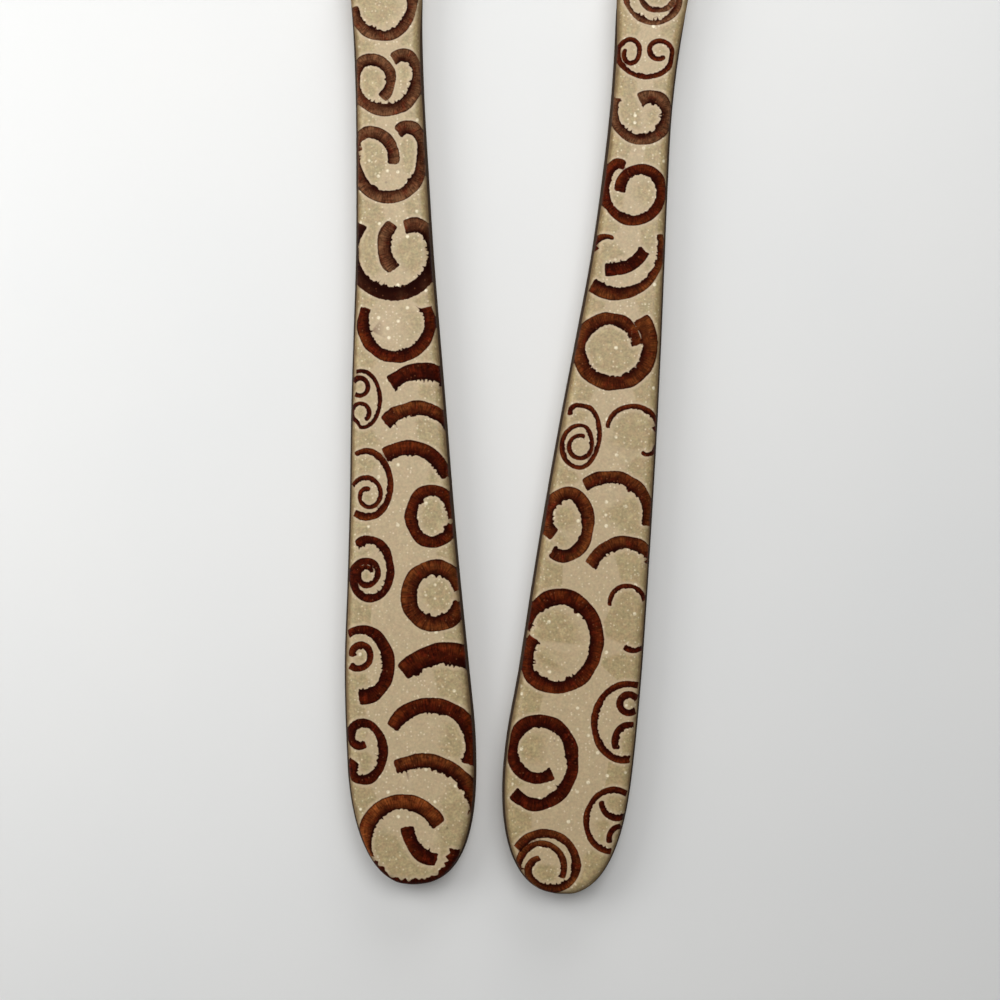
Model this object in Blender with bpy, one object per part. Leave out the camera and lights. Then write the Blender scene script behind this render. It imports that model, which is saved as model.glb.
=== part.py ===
"""A pair of salad servers, a fork and a spoon, laid side by side in a shallow V.

Each server is a pressed steel blank with a full-length tang. A cream resin scale is bonded to the
tang's back and another to its front. The front scale holds slices of rolled cinnamon bark, each in
its own pocket and ground flush with the resin.

Metres, +Z up, table at Z = 0. Each server is drawn in its own frame, with X across the handle and Y
from the handle's butt end towards the head, then placed by its own empty.
"""

import math

import bmesh
import bpy
from mathutils import Vector

MM = 0.001

# Layers of the handle, from the table up. A glue line lies between the tang and each scale.
BACK_SCALE = 3.4 * MM
TANG = 1.5 * MM
FRONT_SCALE = 4.0 * MM
GLUE = 0.1 * MM
TANG_BOTTOM = BACK_SCALE + GLUE
TANG_TOP = TANG_BOTTOM + TANG
FRONT_BOTTOM = TANG_TOP + GLUE
FRONT_TOP = FRONT_BOTTOM + FRONT_SCALE

# Handle shape along Y.
BUTT_CAP = 28 * MM
BUTT_POWER_LEFT = 2.3
BUTT_POWER_RIGHT = 2.6
SCALE_END = 193 * MM
SCALE_END_CAP = 8 * MM
LEDGE = 0.5 * MM
ROUNDOVER = 1.8 * MM
ROUNDOVER_STEPS = 3

# Head shape.
LENGTH = 280 * MM
HEAD_START = 194 * MM
RIM_LIFT_LENGTH = 38 * MM
NECK_BLEND = 4
DEEPEST_BEYOND_MIDDLE = 3 * MM
CLOSE_ROWS_END = 256 * MM
FIRST_ROW = 0.1 * MM
ACROSS_STEPS = 10

# Bark slices.
BARK_FLOOR = 1.0 * MM
POCKET_GAP = 0.15 * MM
CHORD_ERROR = 0.2 * MM
LARGEST_STEP = math.radians(40)

# Placing. The origin lies on the table, under the fork handle, this far from its butt end.
REST_POINT = 30 * MM
FORK_LEAN = math.radians(1.7)
SPOON_LEAN = math.radians(-6.4)
SPOON_BUTT_FROM_FORK_BUTT = Vector((28.7 * MM, -1.8 * MM, 0))

# The handle's sides in millimetres: distance from the butt end, reach to the left, reach to the right.
FORK_SIDES = (
    (28, 12.6, 13.5), (45, 12.5, 12.5), (70, 10.9, 10.8), (100, 9.5, 9.3), (125, 7.9, 8.0),
    (150, 7.1, 7.2), (165, 6.9, 6.9), (180, 7.4, 7.3), (192, 8.9, 8.8),
)
SPOON_SIDES = (
    (28, 13.4, 12.7), (45, 12.4, 12.4), (70, 11.3, 11.3), (100, 9.4, 9.7), (125, 7.4, 8.0),
    (145, 6.7, 6.6), (160, 6.7, 5.8), (180, 7.8, 6.4), (192, 9.2, 8.0),
)

# Heads in millimetres: where the head is widest, its half width there, its reach back towards the
# neck, the power of its front curve, and how far the middle sinks below the rim.
FORK_HEAD = {"widest": 236, "half": 27, "back": 42, "front_power": 2.7, "rim": 10.0, "depth": 7.5}
SPOON_HEAD = {"widest": 241, "half": 28, "back": 46, "front_power": 2.0, "rim": 13.0, "depth": 11.3}

# Fork slots in millimetres.
SLOT_PITCH = 12.0
SLOT_HALF = 2.0
SLOT_ROOT = 240
SLOT_FLARE_START = 262
SLOT_FLARE = 2.4
SLOT_ROOT_STEPS = 8
SLOT_FLARE_STEPS = 4
CUTTER_REACH = 4
CUTTER_BOTTOM = -5 * MM
CUTTER_TOP = 25 * MM

# Each slice of bark is one ribbon, seen from above: its thickness in millimetres where it starts and
# where it ends, then its bends.
# A bend is a stretch of an ellipse: centre X, centre Y, radius along X, radius along Y, the angle it
# starts at, the angle it ends at, and optionally its final radii as a share of the first.
FORK_BARK = {
    "arc_01": (3.1, 3.0, (-1.6, 9.1, 7.9, 8.2, 24, 200)),
    "rim_02": (1.8, 2.4, (0.8, 10.9, 10.5, 10.5, 214, 268), (0.8, 7.3, 7.7, 7.0, 285, 362)),
    "hook_03": (2.6, 2.7, (5.7, 11.8, 6.4, 6.3, 176, 264)),
    "scroll_04": (1.6, 1.9, (-9.7, 30.9, 1.7, 2.2, -50, -262), (-9.2, 27.6, 4.2, 5.8, 98, -100),
                  (-9.8, 23.9, 1.7, 2.2, -105, -235)),
    "arc_05": (2.8, 3.2, (4.5, 28.2, 8.6, 8.3, 152, -28)),
    "arc_06": (2.8, 2.6, (2.5, 14.2, 11.0, 11.2, 118, -24)),
    "arc_07": (3.6, 4.6, (7.8, 35.2, 11.5, 11.5, 137, 58)),
    "hook_08": (1.7, 3.0, (-8.8, 45.1, 5.3, 6.8, 118, -98)),
    "scroll_09": (1.3, 1.3, (-9.2, 47.0, 1.3, 1.4, 195, -135, 2.15)),
    "ring_10": (3.1, 3.1, (6.2, 58.3, 5.3, 5.7, 12, 344)),
    "spiral_11": (1.7, 0.9, (-6.7, 64.0, 4.2, 5.9, 125, -125), (-7.3, 62.9, 2.9, 3.1, -170, -700, 0.42)),
    "ring_12": (2.3, 2.3, (6.2, 74.2, 4.3, 5.2, -6, 338)),
    "shell_13": (1.0, 1.5, (-6.8, 81.0, 4.8, 6.6, 115, -122)),
    "spiral_14": (0.9, 0.9, (-6.6, 78.8, 3.4, 3.9, 150, -300, 0.28)),
    "arc_15": (3.1, 2.4, (1.5, 80.0, 8.1, 8.0, 124, 14)),
    "arc_16": (2.8, 2.8, (3.6, 88.5, 8.0, 7.4, 142, 24)),
    "arc_17": (3.2, 3.3, (5.0, 93.8, 9.5, 9.5, 132, 58)),
    "scroll_18": (0.8, 0.8, (-7.3, 98.0, 3.7, 5.7, 104, -97), (-7.5, 95.3, 1.9, 2.0, -112, -420, 0.9)),
    "scroll_19": (0.9, 0.9, (-7.5, 100.5, 1.6, 1.8, 140, -130)),
    "cup_20": (2.3, 2.3, (0.1, 113.0, 6.75, 6.8, 152, 386)),
    "ring_21": (2.4, 2.9, (0.0, 127.2, 8.3, 8.4, 137, 362), (4.2, 128.7, 4.0, 3.9, 15, 118)),
    "hook_22": (2.5, 2.6, (3.5, 128.3, 5.4, 5.9, 129, 230)),
    "heart_23": (2.7, 2.3, (3.6, 149.3, 2.6, 2.8, 140, 25), (-0.5, 146.1, 6.9, 7.9, 15, -172),
                 (-3.9, 146.1, 4.5, 5.2, 150, -14)),
    "heart_24": (2.6, 2.0, (3.0, 163.9, 2.7, 2.7, 138, 20), (-0.55, 161.8, 6.35, 6.2, 10, -172),
                 (-3.3, 161.8, 3.8, 4.1, 155, -62)),
    "ring_25": (2.1, 2.1, (-0.8, 177.3, 6.0, 6.8, 187, 415)),
}
SPOON_BARK = {
    "spiral_01": (1.7, 1.5, (-3.0, 6.2, 6.4, 6.2, 156, -20), (-3.0, 6.2, 6.4, 6.2, -25, -90, 0.74),
                  (-3.4, 4.8, 2.7, 2.7, -110, -255)),
    "shell_02": (1.4, 1.2, (-3.6, 5.5, 4.6, 4.8, 195, -20)),
    "spiral_03": (2.6, 2.5, (-6.4, 26.3, 6.8, 8.4, 230, 447), (-6.8, 28.9, 5.2, 5.8, 93, 310)),
    "shell_04": (1.3, 1.3, (10.1, 36.3, 6.4, 7.7, 76, 284)),
    "scroll_05": (1.4, 1.3, (10.2, 40.0, 1.9, 1.9, 40, 320)),
    "hook_06": (1.2, 1.3, (11.2, 32.7, 3.0, 3.3, 82, 216)),
    "shell_07": (1.1, 1.2, (9.5, 16.4, 5.2, 6.2, 64, 275)),
    "hook_08": (1.1, 1.1, (10.2, 20.4, 3.4, 3.4, 185, 298)),
    "hook_09": (1.1, 1.1, (11.4, 13.0, 2.2, 2.4, 95, 208)),
    "ring_10": (3.2, 2.2, (-5.2, 50.6, 7.7, 9.1, 165, -136), (-7.9, 48.2, 3.1, 3.8, 218, 134)),
    "arc_11": (0.9, 0.9, (7.6, 60.0, 3.5, 3.5, 196, 14)),
    "arc_12": (1.0, 1.0, (9.7, 53.6, 2.9, 2.9, 233, 310)),
    "arc_13": (2.6, 2.5, (6.4, 64.6, 7.3, 7.4, 164, 40)),
    "hook_14": (2.4, 2.8, (-6.3, 74.2, 4.4, 6.4, -121, 165), (-8.0, 74.8, 2.4, 2.9, 185, 262)),
    "arc_15": (2.4, 2.5, (2.7, 76.8, 8.5, 8.3, 137, -8, 0.86)),
    "spiral_16": (1.0, 0.8, (-6.5, 96.7, 1.5, 1.6, 205, 115), (-5.2, 92.0, 3.6, 6.2, 98, -85),
                  (-5.4, 90.1, 3.5, 4.2, -100, -285), (-5.2, 90.0, 2.3, 2.3, -350, -650)),
    "hook_17": (0.8, 0.8, (8.2, 92.2, 1.7, 2.3, -10, -130)),
    "shell_18": (0.9, 0.9, (4.9, 94.6, 5.1, 4.7, 183, 12)),
    "spiral_19": (3.3, 2.3, (-0.6, 110.7, 7.3, 7.9, 52, -88, 0.92), (-1.8, 109.9, 5.8, 6.3, -84, -345)),
    "shell_20": (2.9, 1.2, (-2.0, 130.3, 8.6, 9.2, 238, 384)),
    "bar_21": (2.4, 2.5, (-4.0, 133.6, 7.8, 7.8, 268, 337)),
    "chip_22": (1.7, 0.7, (-4.4, 128.3, 3.6, 4.1, 144, 70)),
    "spiral_23": (2.0, 2.2, (-3.7, 143.8, 2.4, 3.5, 62, 175), (-0.4, 142.4, 5.75, 6.2, 180, 355),
                  (1.1, 142.2, 4.2, 4.4, 5, 188)),
    "hook_24": (2.9, 1.5, (1.4, 157.6, 3.4, 3.6, 137, 10), (-0.5, 157.9, 5.5, 5.6, -5, -205)),
    "scroll_25": (0.95, 0.95, (-3.8, 169.2, 1.5, 1.9, 150, 350), (-4.2, 169.5, 2.2, 2.6, 5, 195),
                  (-1.0, 169.3, 5.4, 4.3, 202, 335), (1.7, 170.4, 2.7, 2.4, -20, 320, 0.6)),
    "spiral_26": (1.2, 1.1, (-0.3, 181.4, 6.2, 6.2, 150, 500, 0.64), (0.0, 181.8, 3.5, 3.7, 150, 400, 0.9)),
}

CREAM = (0.72, 0.62, 0.43)
STEEL = (0.62, 0.62, 0.60)
BARK = (0.20, 0.06, 0.025)


def clear_scene():
    for obj in list(bpy.data.objects):
        bpy.data.objects.remove(obj)


def material(name, colour, roughness, metallic):
    made = bpy.data.materials.new(name)
    made.use_nodes = True
    shader = made.node_tree.nodes["Principled BSDF"]
    shader.inputs["Base Color"].default_value = (*colour, 1)
    shader.inputs["Roughness"].default_value = roughness
    shader.inputs["Metallic"].default_value = metallic
    return made


def add_object(name, bm, finish, parent):
    """The bmesh as an object that stands in its server's frame."""
    mesh = bpy.data.meshes.new(name)
    bm.to_mesh(mesh)
    bm.free()
    mesh.shade_smooth()
    mesh.set_sharp_from_angle(angle=math.radians(35))
    if finish:
        mesh.materials.append(finish)
    obj = bpy.data.objects.new(name, mesh)
    bpy.context.scene.collection.objects.link(obj)
    obj.parent = parent
    return obj


def make_helper(obj):
    obj.hide_render = True
    obj.display_type = "WIRE"


def add_boolean(obj, operation, other):
    """Cuts, joins or intersects obj with one object, or with every object of a collection."""
    modifier = obj.modifiers.new(operation.title(), "BOOLEAN")
    modifier.operation = operation
    modifier.solver = "EXACT"
    if isinstance(other, bpy.types.Collection):
        modifier.operand_type = "COLLECTION"
        modifier.collection = other
    else:
        modifier.object = other
    return modifier


def through_stations(y, stations, column):
    """A smooth curve through one column of the stations, level beyond their ends."""
    rows = [(row[0], row[column]) for row in stations]
    if y <= rows[0][0]:
        return rows[0][1]
    if y >= rows[-1][0]:
        return rows[-1][1]
    i = max(k for k in range(len(rows) - 1) if rows[k][0] <= y)

    def slope(k):
        low, high = rows[max(k - 1, 0)], rows[min(k + 1, len(rows) - 1)]
        return (high[1] - low[1]) / (high[0] - low[0])

    (y0, v0), (y1, v1) = rows[i], rows[i + 1]
    span = y1 - y0
    t = (y - y0) / span
    return (
        v0 * (2 * t**3 - 3 * t**2 + 1)
        + slope(i) * span * (t**3 - 2 * t**2 + t)
        + v1 * (3 * t**2 - 2 * t**3)
        + slope(i + 1) * span * (t**3 - t**2)
    )


def round_end(distance, cap, power):
    """The share of the full width at a distance from a rounded end that is cap long."""
    if distance >= cap:
        return 1.0
    return (1 - (1 - max(distance, 0) / cap) ** power) ** (1 / power)


def handle_edges(sides, y):
    """Left and right X of the tang at Y."""
    return (
        -through_stations(y / MM, sides, 1) * MM * round_end(y, BUTT_CAP, BUTT_POWER_LEFT),
        through_stations(y / MM, sides, 2) * MM * round_end(y, BUTT_CAP, BUTT_POWER_RIGHT),
    )


def edge_slope(sides, y):
    """How fast the handle's half width grows along Y."""
    step = 0.1 * MM
    left, right = handle_edges(sides, y)
    left_on, right_on = handle_edges(sides, y + step)
    return ((right_on - left_on) - (right - left)) / (2 * step)


def head_half_width(head, y):
    """Half the width of the head alone, without the neck that runs into it."""
    widest = head["widest"] * MM
    if y < widest:
        reach, power = head["back"] * MM, 2.0
    else:
        reach, power = LENGTH - widest, head["front_power"]
    away = min(abs(y - widest) / reach, 1)
    return head["half"] * MM * (1 - away**power) ** (1 / power)


def blank_edges(sides, head, y):
    """Left and right X of the whole blank at Y, with the neck faired into the head."""
    left, right = handle_edges(sides, y)
    if y < HEAD_START - RIM_LIFT_LENGTH / 2:
        return left, right
    middle, neck = (left + right) / 2, (right - left) / 2
    bulge = head_half_width(head, y)
    if y > head["widest"] * MM:
        half = bulge
    else:
        half = (neck**NECK_BLEND + bulge**NECK_BLEND) ** (1 / NECK_BLEND)
    return middle - half, middle + half


def ease(t):
    t = min(max(t, 0), 1)
    return t * t * (3 - 2 * t)


def blank_height(head, y, across):
    """Height of the blank's upper face; across runs from -1 at the left edge to 1 at the right."""
    if y <= HEAD_START:
        return TANG_TOP
    rim = TANG_TOP + (head["rim"] * MM - TANG_TOP) * ease((y - HEAD_START) / RIM_LIFT_LENGTH)
    middle = (HEAD_START + LENGTH) / 2 + DEEPEST_BEYOND_MIDDLE
    reach = (middle - HEAD_START) if y < middle else (LENGTH - middle)
    along = 1 - (abs(y - middle) / reach) ** 2
    return rim - head["depth"] * MM * max(along, 0) * (1 - across * across)


def eased_steps(start, end, count, power):
    """Steps from start to end that crowd towards start."""
    return [start + (end - start) * (i / count) ** power for i in range(count + 1)]


def blank_stations():
    """Y of the rows that the blank is lofted through, close together where it curves."""
    butt = eased_steps(FIRST_ROW, BUTT_CAP, 9, 2.0)
    grip = [BUTT_CAP + (HEAD_START - BUTT_CAP) * i / 10 for i in range(1, 11)]
    head = [HEAD_START + (CLOSE_ROWS_END - HEAD_START) * i / 11 for i in range(1, 12)]
    tip = [LENGTH - d for d in reversed(eased_steps(FIRST_ROW, LENGTH - head[-1], 7, 1.8)[:-1])]
    return butt + grip + head + tip


def blank_mesh(sides, head):
    """The upper face of the blank as a grid; a Solidify modifier gives it the sheet's thickness."""
    bm = bmesh.new()
    rows = []
    for y in blank_stations():
        left, right = blank_edges(sides, head, y)
        row = []
        for i in range(ACROSS_STEPS + 1):
            across = -1 + 2 * i / ACROSS_STEPS
            x = (left + right) / 2 + across * (right - left) / 2
            row.append(bm.verts.new((x, y, blank_height(head, y, across))))
        rows.append(row)
    for low, high in zip(rows, rows[1:]):
        for i in range(ACROSS_STEPS):
            bm.faces.new((low[i], low[i + 1], high[i + 1], high[i]))
    bmesh.ops.dissolve_limit(
        bm, angle_limit=math.radians(0.2), verts=bm.verts, edges=bm.edges
    )
    return bm


def add_blank(name, sides, head, finish, parent):
    """Steel blank: tang, neck and dished head, pressed from one sheet."""
    blank = add_object(name, blank_mesh(sides, head), finish, parent)
    sheet = blank.modifiers.new("Sheet", "SOLIDIFY")
    sheet.thickness = TANG
    sheet.offset = -1
    sheet.use_even_offset = True
    return blank


def add_slot_cutters(blank, parent):
    """Three slots part the fork's head into four tines whose tips narrow."""
    for index in (-1, 0, 1):
        outline = []
        for i in range(SLOT_ROOT_STEPS + 1):
            angle = math.pi + math.pi * i / SLOT_ROOT_STEPS
            outline.append((SLOT_HALF * math.cos(angle), SLOT_ROOT + SLOT_HALF * math.sin(angle)))
        beyond = LENGTH / MM + CUTTER_REACH
        shares = [step / SLOT_FLARE_STEPS for step in range(SLOT_FLARE_STEPS + 1)]
        flare = [(SLOT_FLARE * ease(share), share) for share in shares]
        right = [
            (SLOT_HALF + out, SLOT_FLARE_START + (beyond - SLOT_FLARE_START) * share)
            for out, share in flare
        ]
        outline += right + [(-x, y) for x, y in reversed(right)]
        shifted = [((x + index * SLOT_PITCH) * MM, y * MM) for x, y in outline]
        solid = prism(shifted, CUTTER_BOTTOM, CUTTER_TOP)
        cutter = add_object(f"slot_cutter_{index + 2}", solid, None, parent)
        make_helper(cutter)
        add_boolean(blank, "DIFFERENCE", cutter)


def prism(outline, bottom, top):
    """A straight-sided solid on a plan outline."""
    bm = bmesh.new()
    base = bm.faces.new([bm.verts.new((x, y, bottom)) for x, y in outline])
    raised = bmesh.ops.extrude_face_region(bm, geom=[base])
    moved = [v for v in raised["geom"] if isinstance(v, bmesh.types.BMVert)]
    bmesh.ops.translate(bm, verts=moved, vec=(0, 0, top - bottom))
    bmesh.ops.recalc_face_normals(bm, faces=bm.faces)
    return bm


def scale_outline(sides):
    """Plan outline of a scale: the tang's outline drawn in by the ledge, and rounded at the neck."""
    butt = eased_steps(LEDGE, BUTT_CAP, 8, 2.0)[1:]
    start_of_end = SCALE_END - SCALE_END_CAP
    grip = [BUTT_CAP + (start_of_end - BUTT_CAP) * i / 10 for i in range(1, 11)]
    end = [SCALE_END - d for d in reversed(eased_steps(0, SCALE_END_CAP, 5, 2.0)[1:-1])]
    left_side, right_side = [], []
    for y in butt + grip + end:
        left, right = handle_edges(sides, y)
        middle = (left + right) / 2
        cap = round_end(SCALE_END - y, SCALE_END_CAP, 2.0)
        inset = LEDGE * math.hypot(1, edge_slope(sides, y))
        half = ((right - left) / 2 - inset) * cap
        left_side.append((middle - half, y))
        right_side.append((middle + half, y))
    ends = [(sum(handle_edges(sides, y)) / 2, y) for y in (LEDGE, SCALE_END)]
    return [ends[0]] + right_side + [ends[1]] + left_side[::-1]


def scale_mesh(sides, bottom, top, rounded_face):
    """A resin scale with the edge of its outer face rounded over."""
    bm = prism(scale_outline(sides), bottom, top)
    level = top if rounded_face == "top" else bottom
    edges = [e for e in bm.edges if all(abs(v.co.z - level) < 1e-7 for v in e.verts)]
    bmesh.ops.bevel(
        bm, geom=edges, offset=ROUNDOVER, offset_type="OFFSET", segments=ROUNDOVER_STEPS,
        profile=0.5, affect="EDGES", clamp_overlap=True,
    )
    return bm


def bend_points(cx, cy, rx, ry, start, end, final=1.0):
    """Points along one bend, close enough together to follow its curve."""
    start, end = math.radians(start), math.radians(end)
    radius = max(rx, ry) * max(final, 1) * MM
    step = min(2 * math.acos(1 - CHORD_ERROR / radius), LARGEST_STEP)
    count = max(2, math.ceil(abs(end - start) / step))
    points = []
    for i in range(count + 1):
        t = i / count
        angle = start + (end - start) * t
        grow = 1 + (final - 1) * t
        points.append(
            Vector((cx + rx * grow * math.cos(angle), cy + ry * grow * math.sin(angle))) * MM
        )
    return points


def ribbon_path(bends, joined_within):
    """The centreline of a bark slice through all its bends."""
    path = []
    for bend in bends:
        points = bend_points(*bend)
        if path and (points[0] - path[-1]).length < joined_within:
            points = points[1:]
        path += points
    return path


def ribbon_mesh(ribbon, extra, bottom, top):
    """A bark slice standing on edge: a strip that follows its bends, widened all round by extra."""
    first, last, *bends = ribbon
    path = ribbon_path(bends, first * MM)
    along = [
        (path[min(i + 1, len(path) - 1)] - path[max(i - 1, 0)]).normalized()
        for i in range(len(path))
    ]
    path[0] -= along[0] * extra
    path[-1] += along[-1] * extra
    bm = bmesh.new()
    rows = []
    for i, (point, ahead) in enumerate(zip(path, along)):
        thickness = (first + (last - first) * i / (len(path) - 1)) * MM
        side = Vector((-ahead.y, ahead.x)) * (thickness / 2 + extra)
        corners = ((point - side, bottom), (point + side, bottom), (point + side, top), (point - side, top))
        rows.append([bm.verts.new((xy.x, xy.y, z)) for xy, z in corners])
    bm.faces.new(rows[0][::-1])
    bm.faces.new(rows[-1])
    for low, high in zip(rows, rows[1:]):
        for i in range(4):
            j = (i + 1) % 4
            bm.faces.new((low[i], low[j], high[j], high[i]))
    bmesh.ops.recalc_face_normals(bm, faces=bm.faces)
    return bm


def add_bark(name, ribbon, envelope, finish, parent):
    """One slice of bark, trimmed to the scale's outer surface."""
    solid = ribbon_mesh(ribbon, 0, FRONT_BOTTOM + BARK_FLOOR, FRONT_TOP + MM)
    slice_ = add_object(name, solid, finish, parent)
    add_boolean(slice_, "INTERSECT", envelope).use_self = True


def add_pocket_cutter(name, ribbon, pockets, parent):
    """The cutter for a slice's pocket, larger than the slice all round and below."""
    floor = FRONT_BOTTOM + BARK_FLOOR - POCKET_GAP
    solid = ribbon_mesh(ribbon, POCKET_GAP, floor, FRONT_TOP + 2 * MM)
    cutter = add_object(name, solid, None, parent)
    make_helper(cutter)
    pockets.objects.link(cutter)


def add_server(kind, sides, head, bark, finishes, location, lean):
    """One server: blank, two scales and the bark slices, all parented to an empty at its butt end."""
    place = bpy.data.objects.new(f"{kind}_place", None)
    bpy.context.scene.collection.objects.link(place)
    place.location = location
    place.rotation_euler.z = lean
    blank = add_blank(f"{kind}_steel_blank", sides, head, finishes["steel"], place)
    if kind == "fork":
        add_slot_cutters(blank, place)
    add_object(
        f"{kind}_back_scale", scale_mesh(sides, 0, BACK_SCALE, "bottom"), finishes["cream"], place
    )
    envelope = add_object(
        f"{kind}_envelope", scale_mesh(sides, FRONT_BOTTOM, FRONT_TOP, "top"), None, place
    )
    make_helper(envelope)
    front = add_object(
        f"{kind}_front_scale",
        scale_mesh(sides, FRONT_BOTTOM, FRONT_TOP, "top"),
        finishes["cream"],
        place,
    )
    pockets = bpy.data.collections.new(f"{kind}_pockets")
    for name, ribbon in bark.items():
        add_bark(f"{kind}_bark_{name}", ribbon, envelope, finishes["bark"], place)
        add_pocket_cutter(f"{kind}_pocket_{name}", ribbon, pockets, place)
    add_boolean(front, "DIFFERENCE", pockets).use_self = True


def main():
    clear_scene()
    finishes = {
        "cream": material("cream_resin", CREAM, 0.25, 0),
        "steel": material("steel", STEEL, 0.2, 1),
        "bark": material("cinnamon_bark", BARK, 0.4, 0),
    }
    toward_head = Vector((-math.sin(FORK_LEAN), math.cos(FORK_LEAN), 0))
    fork_butt = -toward_head * REST_POINT
    add_server("fork", FORK_SIDES, FORK_HEAD, FORK_BARK, finishes, fork_butt, FORK_LEAN)
    spoon_butt = fork_butt + SPOON_BUTT_FROM_FORK_BUTT
    add_server("spoon", SPOON_SIDES, SPOON_HEAD, SPOON_BARK, finishes, spoon_butt, SPOON_LEAN)


main()
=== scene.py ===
"""The looks of a pair of salad servers: cream glitter resin handles inlaid with slices of cinnamon
bark, on polished steel fork and spoon blanks.

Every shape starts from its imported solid. The outlines are smoothed, the bark's edges are roughened,
and the resin is meshed around the bark so that the two share one polished surface.
Lengths are in millimetres until a mesh is made.
"""

import math

import bmesh
import bpy
import numpy as np
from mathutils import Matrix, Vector, kdtree, noise
from mathutils.geometry import delaunay_2d_cdt


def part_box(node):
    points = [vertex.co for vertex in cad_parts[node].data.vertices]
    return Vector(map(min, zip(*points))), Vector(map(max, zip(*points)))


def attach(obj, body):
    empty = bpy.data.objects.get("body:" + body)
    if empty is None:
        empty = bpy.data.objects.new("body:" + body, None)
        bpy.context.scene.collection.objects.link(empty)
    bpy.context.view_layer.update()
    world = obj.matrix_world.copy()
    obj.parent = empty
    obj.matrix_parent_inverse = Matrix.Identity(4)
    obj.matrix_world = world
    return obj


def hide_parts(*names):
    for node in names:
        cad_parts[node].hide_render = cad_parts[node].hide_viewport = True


MM = 0.001

# How far each handle leans from the row's Y axis.
LEAN = {"fork": math.radians(1.7), "spoon": math.radians(-6.4)}

# Edge roundings, and the thickness of the steel sheet.
SCALE_ROUNDING = 1.8
STEEL_ROUNDING = 0.45
SHEET = 1.5

# Picking faces of a solid: how level a flat face is, and how far a dished face may lean.
FACING_UP = 0.99
LEVEL_WITHIN = 0.01
UPPER_FACE = 0.7

# Meshing: what counts as a corner or a sharp edge, and how closely points stand.
WELD = 0.002
MERGE_WITHIN = 1e-5
CORNER = math.radians(52)
SMOOTH_ANGLE = math.radians(38)
LINE_SPACING = 0.3
BARK_SPACING = 0.2
STEEL_SPACING = 0.4
STEEL_ROUNDS = 5
BARK_GRID = 0.5
HALO = 0.35
SCALE_RINGS = (0.12, 0.35, 0.7, 1.15, 1.6, 2.1, 3.2)
STEEL_RINGS = (0.08, 0.22, 0.45, 0.9)
POINTS_AT_ONCE = 2000

# The head: its grid of points, and where its dish takes over from the flat tang.
HEAD_GRID = 1.6
HEAD_GRID_INSET = 1.2
HEAD_MARGIN = 8.0
NECK_BLEND = 4.0
DISH_SOFTNESS = 1e-6

# How far from the bark the resin is measured, and the distance that stands for anything further.
REACH = 2.0
FAR = 9.0

# Bark edges: how far they wander, in millimetres, on the inner and outer side and at cut ends.
# Teeth stand on the inner side, and a worn slice's inner side wanders further. Shares are of the
# bark's thickness.
RAGGED = {"inner": 0.17, "outer": 0.06, "end": 0.14}
RAGGED_SHARE = 0.13
LUMP = 0.22
LUMP_SHARE = 0.10
TOOTH = 0.7
TOOTH_SHARE = 0.28
TOOTH_SHARPNESS = 4
THINNEST_SHARE = 0.35
WORN = {"fork_bark_rim_02": 0.6}
END_LENGTH_SHARE = 2.2
SLICE_OVERRUN = 0.8
NEAR_EDGE = 0.12
CUT_AT_EDGE = 0.8
END_ROUNDS = 5

# How many lumps a millimetre each kind of wandering has, and what brings noise to about -1 to 1.
NOISE_GAIN = 1.6
PER_MM = {
    "patches": 0.35, "fine": 1.7, "finest": 3.6, "lumps": 0.3, "wear": 1.1, "teeth": 0.85, "toothed": 0.25,
}

# Numbers that make the slices differ from one another.
SEED_STEP = 3.7
NUMBER_STEP = 1.7
NUMBER_START = {"fork": 0, "spoon": 50}

# The view: straight down on the handles.
VIEW_CENTRE = (18.4, 47.6)
VIEW_WIDTH = 200.0
LENS = 85.0
SENSOR = 36.0

# The table top, a little below the servers, in metres.
TABLE_SIZE = 1.6
TABLE_PLACE = (0.02, 0.05, -0.0002)

# Lights, in metres and watts. The room lights the table weakly, but is seen and mirrored brighter.
LIGHTS_AIM = (0.02, 0.05, 0)
DAYLIGHT = (1, 1, 0.985)
ROOM_LIGHT = 0.06
ROOM_SEEN = 0.55

# Colours.
RESIN_PINK = (0.455, 0.325, 0.180)
RESIN_GREEN = (0.408, 0.332, 0.177)
RESIN_CLOUD = (0.83, 0.82, 0.79)
RESIN_PALE = (0.55, 0.445, 0.25)
# Painted shade: the dark brown of the resin's rounded top edge.
RESIN_EDGE_SHADE = (0.20, 0.13, 0.07)
RESIN_HALO = (0.60, 0.46, 0.31)
RESIN_TINT = {"fork": (0.97, 0.97, 0.955), "spoon": (0.95, 0.935, 0.885)}
DARK_SPECK = (0.12, 0.08, 0.035)
GLINT = (0.90, 0.80, 0.58)
# Painted shade and stain: the dark brown of the resin next to the steel tang.
TANG_JOIN_SHADE_AND_STAIN = (0.085, 0.050, 0.028)
BARK_STAIN = (0.12, 0.045, 0.018)
BARK_SKIN = (0.010, 0.0012, 0.0006)
BARK_INNER = (0.016, 0.0016, 0.0007)
BARK_REDDISH = (0.120, 0.0125, 0.0040)
BARK_FLECK = (0.22, 0.08, 0.035)
# Painted shade and grime: the dark brown of the tang's visible edge.
TANG_SHADE_AND_GRIME = (0.050, 0.033, 0.023)
STEEL_DULL = (0.55, 0.55, 0.54)
STEEL_BRIGHT = (0.66, 0.66, 0.65)
FLOOR = (0.80, 0.80, 0.80)
FLOOR_CLOUD = (0.78, 0.785, 0.79)
FLOOR_SPECK = (0.45, 0.44, 0.42)

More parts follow.
